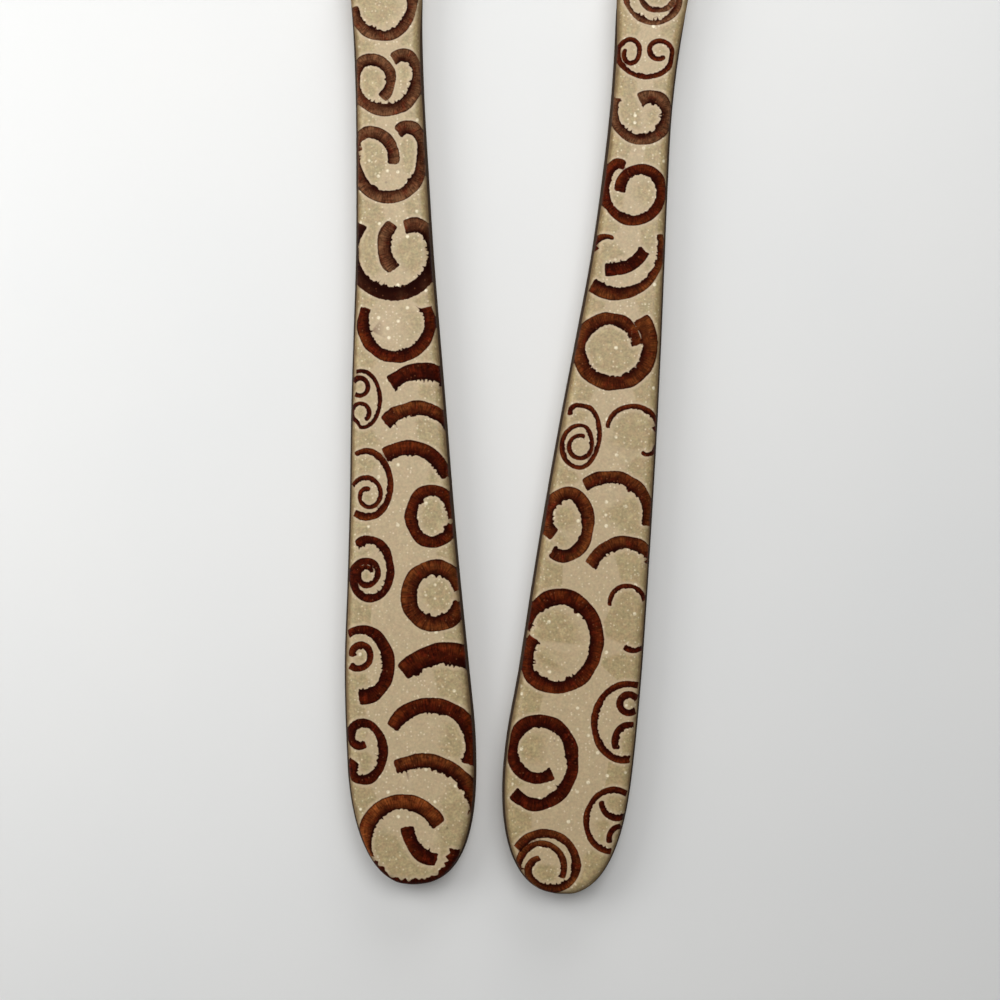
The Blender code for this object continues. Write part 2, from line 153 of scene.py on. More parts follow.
# Each bark tone: dark and light colours, the colour of its warm patches, and how strong they are.
BARK = {
    "dark": ((0.017, 0.0014, 0.0006), (0.046, 0.0050, 0.0014), (0.085, 0.014, 0.003), 0.5),
    "red": ((0.028, 0.0024, 0.0008), (0.068, 0.0090, 0.0022), (0.120, 0.024, 0.005), 0.7),
    "brown": ((0.038, 0.0050, 0.0014), (0.082, 0.0170, 0.0045), (0.150, 0.042, 0.010), 0.8),
    "pale": ((0.060, 0.0170, 0.0070), (0.115, 0.0430, 0.0190), (0.170, 0.080, 0.038), 0.8),
    "orange": ((0.060, 0.0090, 0.0020), (0.125, 0.0300, 0.0070), (0.230, 0.060, 0.014), 1.0),
}
TONES = {
    "fork": {
        "dark": "02 03 04 08 11 17 18 19", "brown": "06 10 16", "pale": "21 22 23 24 25", "orange": "01",
    },
    "spoon": {"dark": "03 05 06 08 09 12 17 21", "brown": "01 02 13 14 15 19 20", "pale": "24 26"},
}


def turned(points, angle):
    """Plan points turned anticlockwise about the row's Z axis."""
    c, s = math.cos(angle), math.sin(angle)
    return np.column_stack((points[:, 0] * c - points[:, 1] * s, points[:, 0] * s + points[:, 1] * c))


class Solid:
    """A CAD node's triangles in its server's own frame, in millimetres, with Y along the handle."""

    def __init__(self, node, kind):
        shape = bmesh.new()
        shape.from_mesh(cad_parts[node].data)
        bmesh.ops.remove_doubles(shape, verts=shape.verts, dist=WELD * MM)
        bmesh.ops.triangulate(shape, faces=shape.faces)
        shape.verts.index_update()
        self.points = np.array([v.co for v in shape.verts]) / MM
        self.points[:, :2] = turned(self.points[:, :2], -LEAN[kind])
        self.tris = np.array([[v.index for v in f.verts] for f in shape.faces])
        shape.free()
        corners = self.points[self.tris]
        normals = np.cross(corners[:, 1] - corners[:, 0], corners[:, 2] - corners[:, 0])
        sizes = np.linalg.norm(normals, axis=1)
        self.normals = normals / np.maximum(sizes, 1e-12)[:, None]

    def flat_loops(self, upward):
        """Outline loops of the lowest flat face, or of the highest."""
        level = self.points[:, 2].max() if upward else self.points[:, 2].min()
        heights = self.points[self.tris][:, :, 2]
        facing = self.normals[:, 2] > FACING_UP if upward else self.normals[:, 2] < -FACING_UP
        return self.loops(facing & (abs(heights - level) < LEVEL_WITHIN).all(axis=1))

    def loops(self, picked):
        """Outline loops of the picked triangles, in plan, each anticlockwise, the largest first."""
        edges = set()
        for a, b, c in self.tris[picked]:
            for edge in ((a, b), (b, c), (c, a)):
                if edge[::-1] in edges:
                    edges.discard(edge[::-1])
                else:
                    edges.add(edge)
        after = {}
        for a, b in sorted(edges):
            after.setdefault(a, []).append(b)
        found = []
        for start in list(after):
            while after[start]:
                loop, here = [start], after[start].pop()
                while here != start:
                    loop.append(here)
                    here = after[here].pop()
                found.append(anticlockwise(self.points[loop][:, :2]))
        return sorted(found, key=lambda loop: -area(loop))


def area(loop):
    """The signed area of a closed loop: positive when it runs anticlockwise."""
    x, y = loop[:, 0], loop[:, 1]
    return 0.5 * float(np.sum(x * np.roll(y, -1) - np.roll(x, -1) * y))


def anticlockwise(loop):
    return loop if area(loop) > 0 else loop[::-1]


def turns(loop):
    """How far a closed loop turns at each of its points, anticlockwise positive."""
    behind = loop - np.roll(loop, 1, axis=0)
    ahead = np.roll(loop, -1, axis=0) - loop
    cross = behind[:, 0] * ahead[:, 1] - behind[:, 1] * ahead[:, 0]
    return np.arctan2(cross, (behind * ahead).sum(axis=1))


def lengths_along(line):
    """How far along a line each of its points lies."""
    steps = np.linalg.norm(np.diff(line, axis=0), axis=1)
    return np.concatenate(([0.0], np.cumsum(steps)))


def smooth_line(line, spacing, closed=False):
    """Evenly spaced points on a smooth curve through the points of a line."""
    if closed:
        line = np.vstack((line, line[:1]))
    knots = lengths_along(line)
    if len(line) == 2:
        slopes = np.repeat(np.diff(line, axis=0) / max(knots[-1], 1e-9), 2, axis=0)
    else:
        chords = np.diff(line, axis=0) / np.diff(knots)[:, None]
        spans = np.diff(knots)[:, None]
        inner = (chords[:-1] * spans[1:] + chords[1:] * spans[:-1]) / (spans[:-1] + spans[1:])
        if closed:
            ends = (chords[-1] * spans[0] + chords[0] * spans[-1]) / (spans[0] + spans[-1])
            slopes = np.vstack((ends, inner, ends))
        else:
            slopes = np.vstack((2 * chords[0] - inner[0], inner, 2 * chords[-1] - inner[-1]))
    count = max(2, int(round(knots[-1] / spacing)) + 1)
    at = np.linspace(0, knots[-1], count)
    piece = np.clip(np.searchsorted(knots, at, side="right") - 1, 0, len(knots) - 2)
    span = (knots[piece + 1] - knots[piece])[:, None]
    t = (at - knots[piece])[:, None] / span
    curve = (
        (2 * t**3 - 3 * t**2 + 1) * line[piece]
        + (t**3 - 2 * t**2 + t) * span * slopes[piece]
        + (3 * t**2 - 2 * t**3) * line[piece + 1]
        + (t**3 - t**2) * span * slopes[piece + 1]
    )
    return curve[:-1]


def stretches(loop):
    """The stretches of a loop between its corners, each with how far it turns in all."""
    turn = turns(loop)
    corners = np.flatnonzero(abs(turn) > CORNER)
    if len(corners) == 0:
        return [(loop, float(turn.sum()), True)]
    found = []
    for i, start in enumerate(corners):
        stop = corners[(i + 1) % len(corners)]
        if stop <= start:
            stop += len(loop)
        index = np.arange(start, stop + 1) % len(loop)
        found.append((loop[index], float(turn[index[1:-1]].sum()), False))
    return found


def nearest(points, line, closed=False):
    """Distance from each point to a line, and how far along the line its nearest spot lies."""
    count = len(line)
    tree = kdtree.KDTree(count)
    for i, (x, y) in enumerate(line.tolist()):
        tree.insert((x, y, 0), i)
    tree.balance()
    hit = np.array([tree.find((x, y, 0))[1] for x, y in points.tolist()])
    along = lengths_along(np.vstack((line, line[:1])) if closed else line)
    best_gap, best_place = np.full(len(points), np.inf), np.zeros(len(points))
    for first in (hit - 1, hit):
        first = first % count if closed else np.clip(first, 0, count - 2)
        a = line[first]
        step = line[(first + 1) % count] - a
        size = np.maximum((step**2).sum(axis=1), 1e-12)
        t = np.clip(((points - a) * step).sum(axis=1) / size, 0, 1)
        gap = np.hypot(*(points - a - t[:, None] * step).T)
        better = gap < best_gap
        best_gap = np.where(better, gap, best_gap)
        best_place = np.where(better, along[first] + t * np.sqrt(size), best_place)
    return best_gap, best_place


def inside(points, loop):
    """Whether each point lies inside a closed loop."""
    x0, y0 = loop[:, 0], loop[:, 1]
    x1, y1 = np.roll(x0, -1), np.roll(y0, -1)
    rise = np.where(y1 == y0, 1e-12, y1 - y0)
    found = []
    for start in range(0, len(points), POINTS_AT_ONCE):
        x, y = points[start:start + POINTS_AT_ONCE].T[:, :, None]
        spans = (y0 > y) != (y1 > y)
        found.append((spans & (x < x0 + (y - y0) * (x1 - x0) / rise)).sum(axis=1) % 2 == 1)
    return np.concatenate(found) if found else np.zeros(0, bool)


def outward(loop):
    """Unit normals of an anticlockwise loop, pointing out of it."""
    along = np.roll(loop, -1, axis=0) - np.roll(loop, 1, axis=0)
    along /= np.maximum(np.linalg.norm(along, axis=1), 1e-12)[:, None]
    return np.column_stack((along[:, 1], -along[:, 0]))


def wander(loop, scale, seed):
    """A smooth random value, about -1 to 1, for each point of a loop."""
    places = [Vector((x * scale, y * scale, seed)) for x, y in loop]
    return NOISE_GAIN * np.array([noise.noise(place) for place in places])


def averaged(loop, rounds):
    """A closed loop whose corners are blunted by averaging each point with its neighbours."""
    for _ in range(rounds):
        loop = (np.roll(loop, 1, axis=0) + 2 * loop + np.roll(loop, -1, axis=0)) / 4
    return loop


def smooth_outline(loop, spacing, rounds=0):
    """A loop smoothed between its corners; rounds of averaging also blunt the corners."""
    lines = [smooth_line(line, spacing, closed) for line, _, closed in stretches(loop)]
    return averaged(np.vstack(lines), rounds)


def grid_points(low, high, spacing):
    """A staggered grid of points over a box."""
    rows = []
    y, odd = low[1], False
    while y < high[1]:
        x = np.arange(low[0] + (spacing / 2 if odd else 0), high[0], spacing)
        rows.append(np.column_stack((x, np.full(len(x), y))))
        y, odd = y + spacing * math.sqrt(3) / 2, not odd
    return np.vstack(rows)


class Slice:
    """A slice of bark: its roughened outline, and the sides of the roll that the outline follows."""

    def __init__(self, node, kind, edge, seed):
        loops = Solid(node, kind).flat_loops(upward=False)
        self.node = node
        self.sides = {"outer": [], "inner": []}
        self.loops = []
        for index, loop in enumerate(loops):
            thickness = 2 * abs(area(loop)) / lengths_along(loop)[-1]
            self.loops.append(self.roughened(loop, thickness, edge, seed, hole=index > 0))
        self.low = self.loops[0].min(axis=0)
        self.high = self.loops[0].max(axis=0)

    def roughened(self, loop, thickness, edge, seed, hole):
        """The loop smoothed, then roughened, and carried past the scale's edge where it was cut there."""
        curves, shifts = [], []
        for line, turn, closed in stretches(loop):
            curve = smooth_line(line, BARK_SPACING, closed)
            gap = nearest(curve, edge, closed=True)[0]
            straight = len(line) < 3
            short = lengths_along(line)[-1] < END_LENGTH_SHARE * thickness
            if np.median(gap) < NEAR_EDGE or (straight and short):
                side = "end"
            elif (turn > 0) != hole:
                side = "outer"
            else:
                side = "inner"
            if side != "end":
                self.sides[side].append(curve)
            curves.append(curve)
            shifts.append(self.wandering(curve, side, thickness, seed))
        curve, shift = np.vstack(curves), np.concatenate(shifts)
        cut = nearest(curve, edge, closed=True)[0] < CUT_AT_EDGE
        curve = np.where(cut[:, None], curve, averaged(curve, END_ROUNDS))
        curve = curve + outward(curve) * shift[:, None]
        gap = nearest(curve, edge, closed=True)[0]
        beyond = (gap < NEAR_EDGE) | ~inside(curve, edge)
        return curve + outward(curve) * (SLICE_OVERRUN * beyond)[:, None]

    def wandering(self, curve, side, thickness, seed):
        """How far each point of a side moves out of the loop: raggedness, lumps, wear and teeth."""
        most = min(RAGGED[side], RAGGED_SHARE * thickness)
        patchy = 0.55 + 0.45 * wander(curve, PER_MM["patches"], seed + 7)
        fine = wander(curve, PER_MM["fine"], seed) + 0.6 * wander(curve, PER_MM["finest"], seed + 3)
        shift = most * patchy * fine
        if side != "end":
            shift += min(LUMP, LUMP_SHARE * thickness) * wander(curve, PER_MM["lumps"], seed + 11)
        if side == "inner":
            shift += WORN.get(self.node, 0.0) * (wander(curve, PER_MM["wear"], seed + 13) - 0.2)
            teeth = np.clip(1 - TOOTH_SHARPNESS * abs(wander(curve, PER_MM["teeth"], seed + 5)), 0, 1)
            toothed = np.clip(wander(curve, PER_MM["toothed"], seed + 9) + 0.35, 0, 1)
            shift += min(TOOTH, TOOTH_SHARE * thickness) * teeth * toothed
        return np.maximum(shift, (THINNEST_SHARE - 1) * thickness)

    def roll(self, points):
        """For each point, how far along the roll it lies, and its place across: 0 outside, 1 inside."""

        def side(lines):
            offset, best_gap, best_along = 0.0, np.full(len(points), 1e6), np.zeros(len(points))
            for line in lines:
                gap, along = nearest(points, line)
                better = gap < best_gap
                best_gap = np.where(better, gap, best_gap)
                best_along = np.where(better, along + offset, best_along)
                offset += lengths_along(line)[-1]
            return best_gap, best_along

        out_gap, along = side(self.sides["outer"])
        in_gap, in_along = side(self.sides["inner"])
        if not self.sides["outer"]:
            return in_along, np.full(len(points), 0.5)
        if not self.sides["inner"]:
            return along, np.clip(out_gap, 0, 1)
        return along, out_gap / np.maximum(out_gap + in_gap, 1e-6)


def triangulated(loops, loose):
    """Points and triangles that fill the first loop and keep the edges of every loop."""
    points = [Vector(p) for loop in loops for p in loop] + [Vector(p) for p in loose]
    faces, start = [], 0
    for loop in loops:
        faces.append(list(range(start, start + len(loop))))
        start += len(loop)
    made = delaunay_2d_cdt(points, [], faces, 0, MERGE_WITHIN, False)
    plan, tris = np.array([tuple(v) for v in made[0]]), np.array(made[2])
    return plan, tris[inside(plan[tris].mean(axis=1), loops[0])]


def directed_edges(tris):
    """Each directed edge with the number of its triangle."""
    edges = {}
    for i, (a, b, c) in enumerate(tris):
        edges[a, b] = edges[b, c] = edges[c, a] = i
    return edges


def joined(tris, owner):
    """The owners again, with resin given to a slice around each point where it only touches itself."""
    owner, around = owner.copy(), {}
    for i, tri in enumerate(tris):
        for v in tri:
            around.setdefault(v, []).append(i)
    changed = True
    while changed:
        changed = False
        for v, near in around.items():
            for number in set(owner[near].tolist()) - {-1}:
                spokes = [w for i in near if owner[i] == number for w in tris[i] if w != v]
                ends = [w for w in spokes if spokes.count(w) == 1]
                if len(ends) > 2 and (owner[near] < 0).any():
                    owner[near] = np.where(owner[near] < 0, number, owner[near])
                    changed = True
    return owner


def layered_mesh(plan, tris, heights, base):
    """A closed solid between a base and a stepped top.

    heights has one row of point heights for each triangle's layer: heights[layer of triangle].
    Where two triangles' layers differ, a wall joins them."""
    layers, rows = heights
    points, index, levels = [], {}, {}
    for layer, tri in zip(layers, tris):
        for v in tri:
            levels.setdefault(v, set()).update((base[v], rows[layer][v]))

    def at(vertex, height):
        key = (vertex, round(float(height), 5))
        if key not in index:
            index[key] = len(points)
            points.append((plan[vertex][0], plan[vertex][1], height))
        return index[key]

    def rise(vertex, start, stop):
        """The points of a vertex from one height to another, with those that other faces use between."""
        low, high = min(start, stop), max(start, stop)
        between = sorted((z for z in levels[vertex] if low < z < high), reverse=bool(start > stop))
        return [at(vertex, z) for z in (start, *between, stop)]

    faces = []
    for i, tri in enumerate(tris):
        top = rows[layers[i]]
        faces.append([at(v, top[v]) for v in tri])
        faces.append([at(v, base[v]) for v in tri[::-1]])
    edges = directed_edges(tris)
    for (a, b), i in edges.items():
        other = edges.get((b, a))
        if other is None:
            low, high = base, rows[layers[i]]
        elif layers[other] < layers[i]:
            low, high = rows[layers[other]], rows[layers[i]]
        else:
            continue
        wall = rise(b, low[b], high[b]) + rise(a, high[a], low[a])
        wall = [v for k, v in enumerate(wall) if v not in wall[:k]]
        if len(wall) > 2:
            faces.append(wall)
    return np.array(points), faces


def rounded(gap, radius):
    """How far a surface has dropped at a distance from its edge, for a quarter-round edge."""
    inward = np.clip(radius - gap, 0, radius)
    return radius - np.sqrt(np.maximum(radius**2 - inward**2, 0))


def rings(outline, distances):
    """Loose points on lines inside an outline, so that a rounded edge has enough points."""
    normals = outward(outline)
    made = []
    for distance in distances:
        ring = (outline - normals * distance)[::2]
        gap = nearest(ring, outline, closed=True)[0]
        made.append(ring[gap > distance * 0.9])
    return np.vstack(made)


def make_piece(name, kind, points, faces, finish, node):
    """A mesh object that stands for a CAD node and rides on its server."""
    row = points.copy()
    row[:, :2] = turned(points[:, :2], LEAN[kind])
    mesh = bpy.data.meshes.new(name)
    mesh.from_pydata((row * MM).tolist(), [], [list(map(int, f)) for f in faces])
    mesh.validate()
    mesh.shade_smooth()
    mesh.set_sharp_from_angle(angle=SMOOTH_ANGLE)
    mesh.materials.append(finish)
    piece = bpy.data.objects.new(name, mesh)
    bpy.context.scene.collection.objects.link(piece)
    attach(piece, f"{kind}_server")
    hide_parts(node)
    return piece


def add_attribute(piece, name, values):
    attribute = piece.data.attributes.new(name, "FLOAT", "POINT")
    attribute.data.foreach_set("value", np.asarray(values, np.float32))


def shared_plan(outline, slices):
    """Points and triangles over a scale, and for each triangle the number of its slice, or -1."""
    loops = [outline] + [loop for piece in slices for loop in piece.loops]
    loose = [rings(outline, SCALE_RINGS)]
    for piece in slices:
        grid = grid_points(piece.low, piece.high, BARK_GRID)
        loose.append(grid[inside(grid, piece.loops[0])])
        loose.append((piece.loops[0] + outward(piece.loops[0]) * HALO)[::2])
    loose = np.vstack(loose)
    plan, tris = triangulated(loops, loose[inside(loose, outline)])
    middles = plan[tris].mean(axis=1)
    owner = np.full(len(tris), -1)
    for number, piece in enumerate(slices):
        close = np.flatnonzero(((middles > piece.low) & (middles < piece.high)).all(axis=1))
        loops_around = sum(inside(middles[close], loop).astype(int) for loop in piece.loops)
        owner[close[loops_around % 2 == 1]] = number
    return plan, tris, joined(tris, owner)


def build_inlay(kind, finishes):
    """The front resin scale and its bark slices, meshed together so that their surfaces meet."""
    node = f"{kind}_front_scale"
    solid = Solid(node, kind)
    base_z, top_z = solid.points[:, 2].min(), solid.points[:, 2].max()
    outline = smooth_outline(solid.flat_loops(upward=False)[0], LINE_SPACING)
    names = sorted(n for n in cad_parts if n.startswith(f"{kind}_bark_"))
    slices = [Slice(n, kind, outline, seed=SEED_STEP * i) for i, n in enumerate(names)]
    floor_z = Solid(names[0], kind).points[:, 2].min()
    plan, tris, owner = shared_plan(outline, slices)

    gap = nearest(plan, outline, closed=True)[0]
    top = top_z - rounded(gap, SCALE_ROUNDING)
    floor = np.full(len(plan), floor_z)
    base = np.full(len(plan), base_z)

    layers = np.where(owner < 0, 1, 0)
    points, faces = layered_mesh(plan, tris, (layers, [floor, top]), base)
    finish = finishes[f"{kind}_front"]
    resin = make_piece(f"{kind}_front_resin", kind, points, faces, finish, node)
    add_attribute(resin, "edge_gap", nearest(points[:, :2], outline, closed=True)[0])
    add_attribute(resin, "from_tang", points[:, 2] - base_z)
    add_attribute(resin, "bark_gap", gap_to_slices(points[:, :2], slices))

    for number, piece in enumerate(slices):
        mine = tris[owner == number]
        points, faces = layered_mesh(plan, mine, (np.zeros(len(mine), int), [top]), floor)
        finish = finishes[tone_of(piece.node)]
        made = make_piece(f"{piece.node}_slice", kind, points, faces, finish, piece.node)
        along, across = piece.roll(points[:, :2])
        add_attribute(made, "along", along)
        add_attribute(made, "across", across)
        add_attribute(made, "number", np.full(len(points), number * NUMBER_STEP + NUMBER_START[kind]))


def gap_to_slices(places, slices):
    """Distance from each place to the nearest slice of bark, where that is within reach."""
    found = np.full(len(places), FAR)
    for piece in slices:
        near = ((places > piece.low - REACH) & (places < piece.high + REACH)).all(axis=1)
        if near.any():
            gaps = np.min([nearest(places[near], loop, closed=True)[0] for loop in piece.loops], axis=0)
            found[near] = np.minimum(found[near], gaps)
    return found


def tone_of(node):
    """The bark tone of a slice, by its server and the number that ends its name."""
    kind, number = node.split("_")[0], node[-2:]
    for tone, numbers in TONES[kind].items():
        if number in numbers.split():
            return tone
    return "red"


def build_back_scale(kind, finishes):
    """The plain back scale, rounded along the edge of its lower face."""
    node = f"{kind}_back_scale"
    solid = Solid(node, kind)
    outline = smooth_outline(solid.flat_loops(upward=True)[0], LINE_SPACING)
    loose = rings(outline, SCALE_RINGS)
    plan, tris = triangulated([outline], loose)
    gap = nearest(plan, outline, closed=True)[0]
    bottom = solid.points[:, 2].min() + rounded(gap, SCALE_ROUNDING)
    top = np.full(len(plan), solid.points[:, 2].max())
    points, faces = layered_mesh(plan, tris, (np.zeros(len(tris), int), [top]), bottom)
    finish = finishes[f"{kind}_back"]
    made = make_piece(f"{kind}_back_resin", kind, points, faces, finish, node)
    add_attribute(made, "edge_gap", nearest(points[:, :2], outline, closed=True)[0])
    add_attribute(made, "from_tang", top[0] - points[:, 2])


def fitted_surface(samples, softness):
    """A smooth height over the plan that passes close to the samples: a thin plate spline."""
    centre = samples[:, :2].mean(axis=0)
    span = np.ptp(samples[:, 1])
    sites = (samples[:, :2] - centre) / span

    def kernel(a, b):
        r2 = ((a[:, None] - b[None]) ** 2).sum(axis=2)
        return 0.5 * r2 * np.log(np.maximum(r2, 1e-20))

    n = len(sites)
    flat = np.column_stack((np.ones(n), sites))
    matrix = np.zeros((n + 3, n + 3))
    matrix[:n, :n] = kernel(sites, sites) + softness * np.eye(n)
    matrix[:n, n:] = flat
    matrix[n:, :n] = flat.T
    weights = np.linalg.solve(matrix, np.concatenate((samples[:, 2], np.zeros(3))))

    def height(plan):
        where = (plan - centre) / span
        return kernel(where, sites) @ weights[:n] + weights[n] + where @ weights[n + 1:]

    return height


def build_steel(kind, finishes):
    """The steel blank: a flat tang, and a head whose dish is fitted to the CAD head."""
    node = f"{kind}_steel_blank"
    solid = Solid(node, kind)
    upward = solid.normals[:, 2] > UPPER_FACE
    outline = smooth_outline(solid.loops(upward)[0], STEEL_SPACING, STEEL_ROUNDS)
    scale_end = Solid(f"{kind}_front_scale", kind).points[:, 1].max()
    head = solid.points[np.unique(solid.tris[upward])]
    tang_top = float(np.median(head[head[:, 1] < scale_end - HEAD_MARGIN][:, 2]))
    samples = head[head[:, 1] > scale_end - HEAD_MARGIN]
    dish = fitted_surface(samples, DISH_SOFTNESS)

    loose = [rings(outline, STEEL_RINGS)]
    low = np.array((outline[:, 0].min(), scale_end - HEAD_MARGIN))
    grid = grid_points(low, outline.max(axis=0), HEAD_GRID)
    grid = grid[inside(grid, outline)]
    loose.append(grid[nearest(grid, outline, closed=True)[0] > HEAD_GRID_INSET])
    plan, tris = triangulated([outline], np.vstack(loose))
    blend = np.clip((plan[:, 1] - scale_end) / NECK_BLEND + 0.5, 0, 1)
    height = tang_top + blend**2 * (3 - 2 * blend) * (dish(plan) - tang_top)
    gap = nearest(plan, outline, closed=True)[0]
    drop = rounded(gap, STEEL_ROUNDING)
    layers = np.zeros(len(tris), int)
    points, faces = layered_mesh(plan, tris, (layers, [height - drop]), height - SHEET + drop)
    made = make_piece(f"{kind}_steel", kind, points, faces, finishes["steel"], node)
    add_attribute(made, "past_scale", points[:, 1] - scale_end)
    add_attribute(made, "edge_gap", nearest(points[:, :2], outline, closed=True)[0])


class Shader:
    """A material, with short ways to add the nodes that make its detail."""

    def __init__(self, name):
        self.material = bpy.data.materials.new(name)
        self.material.use_nodes = True
        self.tree = self.material.node_tree
        self.surface = self.tree.nodes["Principled BSDF"]
        place = self.tree.nodes.new("ShaderNodeTexCoord")
        self.place = self.vector("MULTIPLY", place.outputs["Object"], (1 / MM, 1 / MM, 1 / MM))

    def add(self, kind, inputs, **settings):
        """A new node, whose inputs are values or links from other nodes."""
        node = self.tree.nodes.new("ShaderNode" + kind)
        for name, value in settings.items():
            setattr(node, name, value)
        for name, value in inputs.items():
            if isinstance(value, bpy.types.NodeSocket):
                self.tree.links.new(value, node.inputs[name])
            else:
                node.inputs[name].default_value = value
        return node

    def vector(self, operation, a, b):
        return self.add("VectorMath", {0: a, 1: b}, operation=operation).outputs[0]

    def maths(self, operation, a, b=0.0):
        return self.add("Math", {0: a, 1: b}, operation=operation).outputs[0]

    def given(self, name):
        """A value stored on the mesh."""
        return self.add("Attribute", {}, attribute_name=name).outputs["Fac"]

    def noise(self, size, detail=2.0, place=None, roughness=0.5):
        """Noise from 0 to 1 whose lumps are about a size in millimetres."""
        return self.add(
            "TexNoise",
            {"Vector": place or self.place, "Scale": 1 / size, "Detail": detail, "Roughness": roughness},
        ).outputs["Fac"]

    def between(self, value, low, high, to_low=0.0, to_high=1.0):
        """A value rescaled from one range to another, and held inside it."""
        return self.add("MapRange", {0: value, 1: low, 2: high, 3: to_low, 4: to_high}).outputs[0]

    def mix(self, amount, a, b, mode="MIX"):
        a, b = ((*c, 1.0) if isinstance(c, tuple) else c for c in (a, b))
        node = self.add("Mix", {}, data_type="RGBA", blend_type=mode)
        for socket, value in ((node.inputs[0], amount), (node.inputs[6], a), (node.inputs[7], b)):
            if isinstance(value, bpy.types.NodeSocket):
                self.tree.links.new(value, socket)
            else:
                socket.default_value = value
        return node.outputs[2]

    def shaded(self, colour, shade):
        """A colour made lighter or darker by a factor."""
        grey = self.add("CombineColor", {0: shade, 1: shade, 2: shade}).outputs[0]
        return self.mix(1.0, colour, grey, "MULTIPLY")

    def specks(self, size, radius, share):
        """Round specks, from 0 to 1: one in a cell of a size, in a share of the cells."""
        cells = self.add("TexVoronoi", {"Vector": self.place, "Scale": 1 / size})
        spot = self.between(cells.outputs["Distance"], radius / size, 0.5 * radius / size)
        pick = self.add("SeparateColor", {"Color": cells.outputs["Color"]}).outputs[0]
        return self.maths("MULTIPLY", spot, self.between(pick, 1 - share, 1 - share + 0.05))

    def bump(self, height, depth):
        """Relief from a height of 0 to 1, a depth in millimetres."""
        return self.add("Bump", {"Height": height, "Distance": depth * MM}).outputs["Normal"]

    def finish(self, **inputs):
        """The material, with these inputs of its surface set or linked."""
        for name, value in inputs.items():
            socket = self.surface.inputs[name.replace("_", " ")]
            if isinstance(value, bpy.types.NodeSocket):
                self.tree.links.new(value, socket)
            else:
                socket.default_value = value
        return self.material


def resin_finish(name, tint, beside_bark):
    """Cream resin full of fine glitter."""
    s = Shader(name)
    colour = s.mix(s.between(s.noise(1.1, 3.0, roughness=0.7), 0.36, 0.64), RESIN_PINK, RESIN_GREEN)
    clouds = s.between(s.noise(1.5, 4.0, roughness=0.8), 0.34, 0.66)
    colour = s.mix(clouds, colour, s.mix(1.0, colour, RESIN_CLOUD, "MULTIPLY"))
    milk = s.between(s.noise(1.9, 3.0, s.vector("ADD", s.place, (31.0, 17.0, 0.0))), 0.56, 0.74, 0.0, 0.6)
    colour = s.mix(milk, colour, RESIN_PALE)
    colour = s.shaded(colour, s.between(s.noise(0.5, 2.0), 0.3, 0.7, 0.80, 1.20))
    colour = s.mix(1.0, colour, tint, "MULTIPLY")
    colour = s.mix(s.specks(4.2, 0.32, 0.16), colour, DARK_SPECK)
    if beside_bark:
        halo = s.between(s.given("bark_gap"), 0.8, 0.2, 0.0, 0.55)
        colour = s.mix(halo, colour, RESIN_HALO)
        stain = s.between(s.given("bark_gap"), 0.14, 0.0, 0.0, 0.7)
        colour = s.mix(stain, colour, BARK_STAIN)
    few = s.specks(1.9, 0.46, 0.22)
    many = s.maths("MULTIPLY", s.specks(0.7, 0.24, 0.4), 0.5)
    glints = s.maths("MULTIPLY", s.maths("MAXIMUM", few, many), s.between(s.noise(0.5), 0.3, 0.6, 0.4, 1.0))
    colour = s.mix(glints, colour, GLINT)
    # Painted shade: the resin darkens towards its rounded top edge, over an uneven width, standing for the
    # shade on the rounding.
    uneven_gap = s.maths("ADD", s.given("edge_gap"), s.between(s.noise(1.6), 0.3, 0.7, -0.2, 0.2))
    rim = s.between(uneven_gap, 0.8, 0.15)
    colour = s.mix(s.maths("MULTIPLY", rim, 0.85), colour, RESIN_EDGE_SHADE)
    # Painted shade and stain: the resin darkens towards the steel tang, for the shade in the corner where
    # they meet and for grime in that join.
    colour = s.mix(s.between(s.given("from_tang"), 1.3, 0.0, 0.0, 0.9), colour, TANG_JOIN_SHADE_AND_STAIN)
    rough = s.between(glints, 0.0, 1.0, 0.34, 0.18)
    relief = s.bump(s.noise(0.5, 3.0), 0.012)
    shine = s.between(s.given("edge_gap"), 1.2, 0.5, 0.35, 0.0)
    return s.finish(Base_Color=colour, Roughness=rough, Normal=relief, Specular_IOR_Level=shine)


